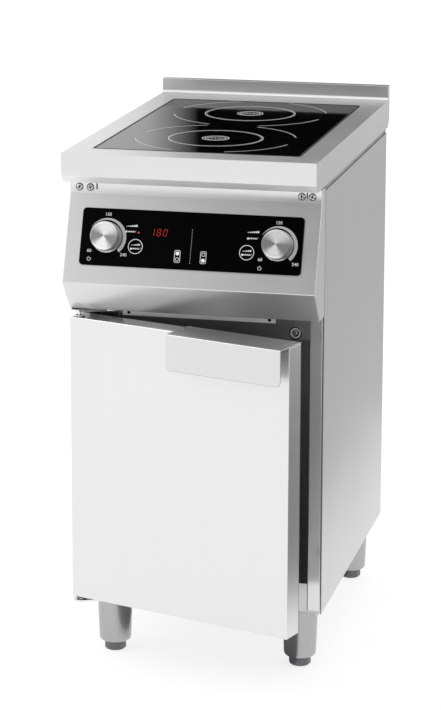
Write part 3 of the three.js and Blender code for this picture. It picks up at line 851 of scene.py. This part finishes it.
def makeDisplay():
    # three leaning seven-segment digits and one indicator lamp
    ink = panel["ink"] * mm
    half, thick, inset = display["half"], display["thick"], display["inset"]
    tall = display["bottom"] - display["top"]
    lean = Matrix.Identity(4)
    lean[0][1] = display["lean"]
    bm = bmesh.new()
    for i, digit in enumerate(display["number"]):
        x = display["left"] + inset + i * (display["right"] - display["left"] - 2 * inset) / 2
        at = onPanel(x, (display["top"] + display["bottom"]) / 2)
        for bar in litBars[digit]:
            sx, sy = barPlaces[bar]
            cx, cy = sx * half, sy * tall / 2 * display["spread"]
            upright = (thick, tall * display["barTall"])
            reachX, reachY = upright if sx else (half * display["barWide"], thick)
            addBlock(bm, at @ lean, ((cx - reachX) * mm, (cy - reachY) * mm, 0),
                     ((cx + reachX) * mm, (cy + reachY) * mm, ink))
    piece("display_digits", bm, displayRed, "cabinet")
    bm = bmesh.new()
    lamp = [(0, 0.5), (1.0, 0.35), (1.5, 0)]
    addTurned(bm, inMillimetres(lamp), onPanel(*display["lamp"]), 20)
    piece("indicator_lamp", bm, displayRed, "cabinet")


makeDisplay()
print("control panel done")


zones = {"inner": 75.0, "outer": 127.0, "line": 1.0, "echo": 0.35, "ink": 0.12, "gaps": (15, 71),
         "rings": (21.0, 16.5), "ringLine": 1.2, "waves": 4, "wavePitch": 6, "wave": (2.3, 3.3),
         "waveTail": 4.5}


def addZoneMark(bm, at, ink):
    # two small rings in the middle of a zone, round a row of plain waves
    line = zones["ringLine"] / 2
    for radius in zones["rings"]:
        addArc(bm, at, (radius - line) * mm, (radius + line) * mm, 0, 360, ink, 48)
    inner, outer = zones["wave"]
    for i in range(zones["waves"]):
        x = (i - (zones["waves"] - 1) / 2) * zones["wavePitch"] * mm
        addArc(bm, at @ Matrix.Translation((x, 0, 0)), inner * mm, outer * mm, 0, 180, ink, 10)
        addBlock(bm, at, (x - outer * mm, -zones["waveTail"] * mm, 0), (x - inner * mm, 0, ink))


def makeZonePrints():
    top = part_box("hob_glass")[1].z + 0.00002
    ink = zones["ink"] * mm
    line = zones["line"] * mm
    inner, outer = zones["inner"] * mm, zones["outer"] * mm
    first, last = zones["gaps"]
    for end in ("front", "rear"):
        low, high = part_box("coil_" + end)
        at = Matrix.Translation(((low.x + high.x) / 2, (low.y + high.y) / 2, top))
        bm = bmesh.new()
        addArc(bm, at, inner - line / 2, inner + line / 2, 0, 360, ink, 96)
        addArc(bm, at, inner - 3.0 * mm, inner - (3.0 - zones["echo"]) * mm, 0, 360, ink, 96)
        for quarter in range(4):
            begin = quarter * 90 + (first if quarter % 2 == 0 else 90 - last)
            addArc(bm, at, outer - line / 2, outer + line / 2, begin, begin + last - first, ink, 24)
        addZoneMark(bm, at, ink)
        piece("zone_print_" + end, bm, inkWhite, "cabinet")


makeZonePrints()


seal = {"corner": 6.4, "line": 2.4, "past": 1.5, "proud": 0.3}


def makeSealBead():
    # the black bead that shows between the glass and the worktop
    low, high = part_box("hob_glass")
    middle = (low + high) / 2
    at = Matrix.Translation((middle.x, middle.y, high.z))
    half = (high.x - middle.x) / mm + seal["past"]
    tall = (high.y - middle.y) / mm + seal["past"]
    bm = bmesh.new()
    addFrame(bm, at, half, tall, seal["corner"], seal["line"], seal["proud"] * mm)
    piece("glass_seal_bead", bm, rubber, "cabinet")


makeSealBead()


front = Vector((0, -1, 0))
back = Vector((0, 1, 0))
screws = {"band": (5.2, 2.6), "bracket": (3.6, 1.8), "catch": (3.2, 0.2), "rear": (3.8, 1.8)}


def addScrew(bm, place, radius, dome):
    # pan head
    outline = [(0, dome), (radius * 0.45, dome * 0.96), (radius * 0.8, dome * 0.68), (radius, dome * 0.2),
               (radius, 0)]
    addTurned(bm, outline, place, 24)


def addCross(bm, place, radius, dome):
    # the cross in a head, painted near-black as the shade in its recess, and the painted shadow line round it
    arm, wide = radius * 0.62, radius * 0.15
    top = dome * 1.06
    addArc(bm, place, radius * 0.94, radius * 1.15, 0, 360, dome * 0.20, 24)
    addBlock(bm, place, (-arm, -wide, dome * 0.55), (arm, wide, top))
    addBlock(bm, place, (-wide, -arm, dome * 0.55), (wide, arm, top))


def makeScrews(name, kind, places):
    # heads of one kind, each turned to another angle
    radius, dome = (v * mm for v in screws[kind])
    heads = bmesh.new()
    crosses = bmesh.new()
    for i, place in enumerate(places):
        turned = place @ Matrix.Rotation(0.5 + i * 1.3, 4, "Z")
        addScrew(heads, turned, radius, dome)
        addCross(crosses, turned, radius, dome)
    piece(name, heads, screwSteel, "cabinet")
    piece(name + "_recess", crosses, recessShadeAndJointDark, "cabinet")


def placesFacing(spots, y, z):
    return [facing(Vector((x * mm, y, z)), front) for x in spots]


screwBand = {"down": 11.5, "screws": (-184, -166.5, 168, 184.5), "slots": (-156, 176.3),
             "slot": {"half": 1, "below": 3, "above": 6, "proud": 0.4}}


def makeBandFittings():
    # screws in the band under the worktop, and its slots drawn as near-black blocks, painted shade in the
    # openings
    face = panelPlace.translation.y + panel["knobDown"] * mm * (panelPlace.col[1].y)
    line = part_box("control_housing")[1].z - screwBand["down"] * mm
    makeScrews("band_screws", "band", placesFacing(screwBand["screws"], face, line))
    slot = {key: value * mm for key, value in screwBand["slot"].items()}
    bm = bmesh.new()
    for x in screwBand["slots"]:
        addBlock(bm, Matrix(), (x * mm - slot["half"], face - slot["proud"], line - slot["below"]),
                 (x * mm + slot["half"], face, line + slot["above"]))
    piece("band_slots", bm, recessShadeAndJointDark, "cabinet")


seam = {"across": (199.1, 199.55), "half": 0.8, "from": 592, "to": 797}


def makeSeams():
    # dark joints where the control housing meets the side panels
    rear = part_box("control_housing")[1].y
    bm = bmesh.new()
    for side in (-1, 1):
        near, far = sorted(side * x * mm for x in seam["across"])
        addBlock(bm, Matrix(), (near, rear - seam["half"] * mm, seam["from"] * mm),
                 (far, rear + seam["half"] * mm, seam["to"] * mm))
    piece("housing_seams", bm, recessShadeAndJointDark, "cabinet")


brackets = {"leaf": 2.1, "upperDown": 7.6, "upper": (-153, -138), "lowerDown": 10, "lower": (-160, -142),
            "washer": (5.4, 8.9, 0.8)}


def makeHingeFittings():
    # screws in the two bracket leaves and the washer on the upper bush
    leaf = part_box("top_rail")[0].y - brackets["leaf"] * mm
    spots = []
    for end in ("upper", "lower"):
        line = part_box("hinge_bracket_" + end)[1].z - brackets[end + "Down"] * mm
        spots += placesFacing(brackets[end], leaf, line)
    makeScrews("hinge_screws", "bracket", spots)
    low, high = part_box("door_bush_upper")
    inner, outer, thick = (v * mm for v in brackets["washer"])
    bm = bmesh.new()
    addArc(bm, Matrix.Translation(((low.x + high.x) / 2, (low.y + high.y) / 2, high.z)), inner, outer, 0, 360,
           thick, 36)
    piece("hinge_washer", bm, chrome, "door", smooth=30)


catch = {"grooves": ((8.3, 10.1), (3.7, 5.8)), "grooveProud": 0.12, "ring": (6.5, 7.5), "paintedGlint": (4.5, 5.0),
         "paintedGlintFrom": 60, "paintedGlintTo": 250, "ringProud": 0.2}


def makeCatchFace():
    # screw on the round door catch, near-black rings painted as the shade in its grooves, and a grey ring and
    # a grey arc painted as highlights
    low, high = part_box("magnet_catch")
    place = facing(Vector(((low.x + high.x) / 2, low.y, (low.z + high.z) / 2)), front)
    makeScrews("catch_screw", "catch", [place])
    bm = bmesh.new()
    for inner, outer in catch["grooves"]:
        addArc(bm, place, inner * mm, outer * mm, 0, 360, catch["grooveProud"] * mm, 40)
    piece("catch_groove_shade", bm, recessShadeAndJointDark, "cabinet")
    bm = bmesh.new()
    # the grey ring and the part arc are painted highlights
    inner, outer = (v * mm for v in catch["ring"])
    addArc(bm, place, inner, outer, 0, 360, catch["ringProud"] * mm, 40)
    inner, outer = (v * mm for v in catch["paintedGlint"])
    addArc(bm, place, inner, outer, catch["paintedGlintFrom"], catch["paintedGlintTo"], catch["ringProud"] * mm, 20)
    piece("catch_painted_highlights", bm, inkGrey, "cabinet")


stripHoleShade = {"places": (-113, 113), "up": 5, "outline": ((0, 0.8), (1.6, 0.7), (2.7, 0.3), (2.8, 0))}


def makeStripHoleShades():
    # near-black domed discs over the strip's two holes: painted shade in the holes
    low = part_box("fixing_strip")[0]
    bm = bmesh.new()
    for place in placesFacing(stripHoleShade["places"], low.y, low.z + stripHoleShade["up"] * mm):
        addTurned(bm, inMillimetres(stripHoleShade["outline"]), place, 20)
    piece("strip_hole_shades", bm, recessShadeAndJointDark, "cabinet")


rearScrews = {"edge": 12, "top": 782, "panelTop": 790}


def makeRearScrews():
    low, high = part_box("rear_panel")
    edge, top, panelTop = (rearScrews[key] * mm for key in ("edge", "top", "panelTop"))
    spots = []
    for x in (low.x + edge, 0, high.x - edge):
        for z in (low.z + edge, (low.z + panelTop) / 2, top):
            spots.append(facing(Vector((x, high.y, z)), back))
    makeScrews("rear_screws", "rear", spots)


makeBandFittings()
makeSeams()
makeHingeFittings()
makeCatchFace()
makeStripHoleShades()
makeRearScrews()


hinge = joints["door_hinge"]
ajar = radians(-hinge["range_deg"][0])
pivot = Vector(hinge["pos_m"])
doorPlace = Matrix.Translation((pivot.x, pivot.y, 0)) @ Matrix.Rotation(-ajar, 4, "Z")
door = {"front": -8.0, "back": 27.7, "left": -12.0, "right": 383.0, "top": 578.5, "bottom": 118.6}
rivets = {"across": (201, 382), "deep": (9.7, 33.0), "flange": 1.75,
          "outline": ((0, 0.5), (1.3, 0.4), (2.2, 0.1), (2.3, 0))}
pressing = {"side": 32, "below": 36, "above": 62, "gap": 0.02, "proud": 1.3, "round": 1.1}
bumpers = {"x": 372, "heights": (530, 170), "outline": ((0, 4.2), (3.6, 3.9), (4.8, 2.6), (5.2, 0))}


def makeHandleRivets():
    bm = bmesh.new()
    for x in rivets["across"]:
        for y in rivets["deep"]:
            spot = Vector((door["left"] + x, door["front"] + y, door["top"] + rivets["flange"])) * mm
            addTurned(bm, inMillimetres(rivets["outline"]), doorPlace @ Matrix.Translation(spot), 16)
    piece("handle_rivets", bm, aluminium, "door")


def makeDoorPressing():
    # pressed stiffening frame on the inside of the door
    low = Vector((door["left"] + pressing["side"], door["back"] + pressing["gap"],
                  door["bottom"] + pressing["below"])) * mm
    high = Vector((door["right"] - pressing["side"], door["back"] + pressing["proud"],
                   door["top"] - pressing["above"])) * mm
    bm = bmesh.new()
    addBlock(bm, Matrix(), low, high)
    rim = [edge for edge in bm.edges if all(abs(vert.co.y - high.y) < 1e-6 for vert in edge.verts)]
    rounded(bm, rim, pressing["round"] * mm)
    bmesh.ops.transform(bm, matrix=doorPlace, verts=bm.verts)
    piece("door_inner_pressing", bm, steelSideShaded, "door")


def makeBumpers():
    bm = bmesh.new()
    for z in bumpers["heights"]:
        spot = doorPlace @ facing(Vector((bumpers["x"], door["back"], z)) * mm, back)
        addTurned(bm, inMillimetres(bumpers["outline"]), spot, 24)
    piece("door_bumpers", bm, rubber, "door")


makeHandleRivets()
makeDoorPressing()
makeBumpers()
print("door, screws and prints done")


gland = {"outline": ((7, 0), (15, 0), (15, 10), (12.2, 10), (12.2, 12.2), (15.6, 12.2), (16, 12.8),
                     (16, 16.6), (15.6, 17), (13.4, 17), (13, 17.6), (12.4, 21), (11, 25), (10, 26),
                     (7.6, 26), (7, 25.4), (7, 0)),
         "ribs": 12, "ribFrom": (12.6, -0.9, 17.4), "ribTo": (13.4, 0.9, 22.5)}


def makeGland():
    low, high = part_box("cable_gland")
    place = facing(Vector(((low.x + high.x) / 2, low.y, (low.z + high.z) / 2)), back)
    bm = bmesh.new()
    addTurned(bm, inMillimetres(gland["outline"]), place, 48)
    for i in range(gland["ribs"]):
        turned = place @ Matrix.Rotation(i * 2 * pi / gland["ribs"], 4, "Z")
        addBlock(bm, turned, Vector(gland["ribFrom"]) * mm, Vector(gland["ribTo"]) * mm)
    piece("cable_gland_ribbed", bm, blackPlastic, "cabinet", ("cable_gland",), 32)


dataPlate = {"from": (30, 600), "to": (120, 645), "thick": 0.8, "round": 0.4}


def makeDataPlate():
    # blank data plate on the rear panel
    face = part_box("rear_panel")[1].y
    (left, bottom), (right, top) = dataPlate["from"], dataPlate["to"]
    outside = face + dataPlate["thick"] * mm
    bm = bmesh.new()
    addBlock(bm, Matrix(), (left * mm, face, bottom * mm), (right * mm, outside, top * mm))
    rim = [edge for edge in bm.edges if all(vert.co.y > face + 0.5 * mm for vert in edge.verts)]
    rounded(bm, rim, dataPlate["round"] * mm, 2)
    piece("blank_data_plate", bm, aluminium, "cabinet")


earthStud = {"x": -110, "z": 580, "rods": ((7, 0, 1.2, 28), (5.2, 1.2, 5.2, 6), (2.5, 5.2, 13, 18))}


def makeEarthStud():
    # washer, nut and threaded end
    spot = Vector((earthStud["x"] * mm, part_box("rear_panel")[1].y, earthStud["z"] * mm))
    bm = bmesh.new()
    for radius, start, end, sides in earthStud["rods"]:
        addRod(bm, facing(spot, back), radius * mm, start * mm, end * mm, sides)
    piece("earth_stud", bm, screwSteel, "cabinet", smooth=25)


boardParts = {"count": 5, "first": 30, "pitch": 45, "canInset": 18, "relayInset": 14, "relay": (9, 12),
              "relayHeights": (16, 22),
              "can": ((0, 34), (9.5, 34), (10.5, 33), (10.5, 31), (10.2, 30.5), (10.5, 30), (10.5, 0),
                      (0, 0))}


def makeBoardParts():
    # capacitors and relays standing on the power boards
    wide, deep = (v * mm for v in boardParts["relay"])
    for side, sign in (("left", -1), ("right", 1)):
        low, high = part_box("power_board_" + side)
        inner, outer = (high.x, low.x) if sign < 0 else (low.x, high.x)
        cans = bmesh.new()
        relays = bmesh.new()
        for i in range(boardParts["count"]):
            y = low.y + (boardParts["first"] + i * boardParts["pitch"]) * mm
            can = Matrix.Translation((inner + sign * boardParts["canInset"] * mm, y, high.z))
            addTurned(cans, inMillimetres(boardParts["can"]), can, 24)
            relay = Matrix.Translation((outer - sign * boardParts["relayInset"] * mm, y, high.z))
            tall = boardParts["relayHeights"][i % 2] * mm
            addBlock(relays, relay, (-wide, -deep, 0), (wide, deep, tall))
        piece("capacitors_" + side, cans, blackPlastic, "cabinet", smooth=35)
        piece("relays_" + side, relays, ceramic, "cabinet", smooth=35)


makeGland()
makeDataPlate()
makeEarthStud()
makeBoardParts()
print("back and inside done")


stage = {"floor": 40.0, "floorTone": 0.28, "floorGlow": 0.78, "world": 1.0}


def stageSheet(name, bm, material):
    # a flat sheet of the studio, which is not part of the object
    mesh = bpy.data.meshes.new(name)
    bm.to_mesh(mesh)
    bm.free()
    mesh.materials.append(material)
    made = bpy.data.objects.new(name, mesh)
    bpy.context.scene.collection.objects.link(made)
    return made


def makeFloor():
    paint = Paint("floor_paint")
    cloud = paint.noise(paint.place((0.8, 0.8, 0.8)), 1.0, 2.0)
    tone = stage["floorTone"]
    material = paint.finish(Base_Color=paint.blend(cloud, grey(tone * 0.99), grey(tone)), Roughness=0.9,
                            Specular_IOR_Level=0.0, Emission_Color=(1, 1, 1, 1),
                            Emission_Strength=stage["floorGlow"])
    bm = bmesh.new()
    bmesh.ops.create_grid(bm, x_segments=1, y_segments=1, size=stage["floor"] / 2)
    stageSheet("floor", bm, material)


cards = {
    "card_behind": {"centre": (0.225, 1.9, 1.3), "size": (1.95, 0.9), "upright": True,
                    "tones": ((0.0, 0.95), (0.06, 0.85), (0.125, 0.0), (1.0, 0.0))},
    "card_right": {"centre": (2.25, -0.1, 0.03), "size": (3.5, 2.7), "upright": False,
                   "tones": ((0.0, 0.16), (1.0, 0.16))},
    "card_far_right": {"centre": (1.9, 3.8, 0.03), "size": (3.2, 5.0), "upright": False,
                       "tones": ((0.0, 0.7), (0.16, 0.55), (0.25, 0.45), (1.0, 0.4))},
    "card_front": {"centre": (0.0, -1.6, 1.5), "size": (2.4, 0.9), "upright": True,
                   "tones": ((0.0, 1.0), (0.22, 0.9), (0.36, 0.42), (0.46, 0.12), (1.0, 0.1))},
    "card_under": {"centre": (0.045, -0.05, 0.004), "size": (0.21, 0.7), "upright": False,
                   "tones": ((0.0, 0.15), (1.0, 0.1))},
}


def makeCard(name, card):
    # a studio card that shows only in reflections, with its tone running from its left to its right
    paint = Paint(name)
    centre, size = card["centre"], card["size"]
    across = paint.node("ShaderNodeSeparateXYZ", {}, {0: paint.place(centre=centre)}, 0)
    ramp = [(position, grey(tone)) for position, tone in card["tones"]]
    tone = paint.node("ShaderNodeValToRGB", {"stops": ramp}, {"Fac": across * (1 / size[0]) + 0.5}, 0)
    material = paint.surface(paint.node("ShaderNodeEmission", {}, {"Color": tone}, 0))
    tilt = Matrix.Rotation(radians(90), 4, "X") if card["upright"] else Matrix.Identity(4)
    place = Matrix.Translation(centre) @ tilt @ Matrix.Diagonal((*size, 1, 1))
    bm = bmesh.new()
    bmesh.ops.create_grid(bm, x_segments=1, y_segments=1, size=0.5)
    bmesh.ops.transform(bm, matrix=place, verts=bm.verts)
    made = stageSheet(name, bm, material)
    made.visible_camera = False
    made.visible_diffuse = False
    made.visible_shadow = False


lights = {
    "key": {"place": (-3.0, -1.8, 2.8), "aim": (0, 0, 0.5), "size": 1.8, "power": 30},
    "top": {"place": (0.3, 0.2, 3.2), "aim": (0, 0, 0.8), "size": 2.2, "power": 8},
}


def makeLight(name, light):
    lamp = bpy.data.lights.new(name, "AREA")
    lamp.size = light["size"]
    lamp.energy = light["power"]
    made = bpy.data.objects.new(name, lamp)
    made.location = light["place"]
    towards = Vector(light["aim"]) - Vector(light["place"])
    made.rotation_euler = towards.to_track_quat("-Z", "Y").to_euler()
    bpy.context.scene.collection.objects.link(made)


def makeWorld():
    world = bpy.data.worlds.new("studio")
    world.use_nodes = True
    sky = world.node_tree.nodes["Background"]
    sky.inputs["Color"].default_value = (1, 1, 1, 1)
    sky.inputs["Strength"].default_value = stage["world"]
    bpy.context.scene.world = world


makeFloor()
makeWorld()
for name, card in cards.items():
    makeCard(name, card)
for name, light in lights.items():
    makeLight(name, light)
bpy.context.scene.view_settings.view_transform = "Standard"
print("stage done")
